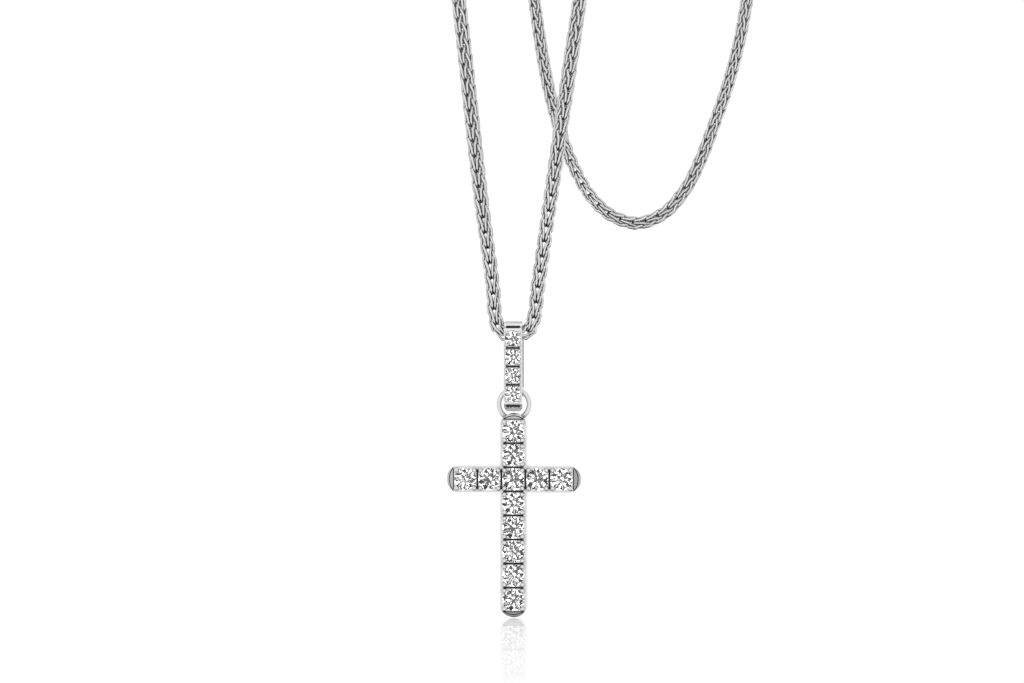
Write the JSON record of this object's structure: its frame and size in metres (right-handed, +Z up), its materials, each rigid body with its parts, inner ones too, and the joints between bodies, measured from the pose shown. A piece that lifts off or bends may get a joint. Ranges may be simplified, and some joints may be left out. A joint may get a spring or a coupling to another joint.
{
  "type": "cross pendant on a chain",
  "caption": "White-metal cross pendant set with round faceted stones, hanging by a stone-set bail and a soldered ring on a wheat chain necklace.",
  "frame": {"origin": "on the axis of the level rail that the necklace hangs over, midway between the front strands and the back loop", "axes": "+Z up; the pendant faces -Y; +X runs along the rail, to the right as seen from the front"},
  "size_m": [0.0402, 0.0392, 0.1309],
  "materials": {
    "white_gold": "high polish, rhodium plated",
    "chain_metal": "high polish",
    "stone": "polished facets"
  },
  "bodies": {
    "root": {"chain": "chain_metal", "clasp": "white_gold"},
    "bail": {"bail_setting": "white_gold", "bail_stone_1": "stone", "bail_stone_2": "stone", "bail_stone_3": "stone", "bail_stone_4": "stone"},
    "cross": {"cross_setting": "white_gold", "cross_stone_01": "stone", "cross_stone_02": "stone", "cross_stone_03": "stone", "cross_stone_04": "stone", "cross_stone_05": "stone", "cross_stone_06": "stone", "cross_stone_07": "stone", "cross_stone_08": "stone", "cross_stone_09": "stone", "cross_stone_10": "stone", "cross_stone_11": "stone", "cross_stone_12": "stone"}
  },
  "joints": [
    {"name": "bail_swing", "type": "hinge", "parent": "root", "child": "bail", "pos_m": [0, -0.018, -0.0864], "axis": [1, 0, 0], "range_deg": [-90, 90]},
    {"name": "cross_swing", "type": "hinge", "parent": "bail", "child": "cross", "pos_m": [0, -0.018, -0.09144], "axis": [1, 0, 0], "range_deg": [-90, 90]}
  ]
}
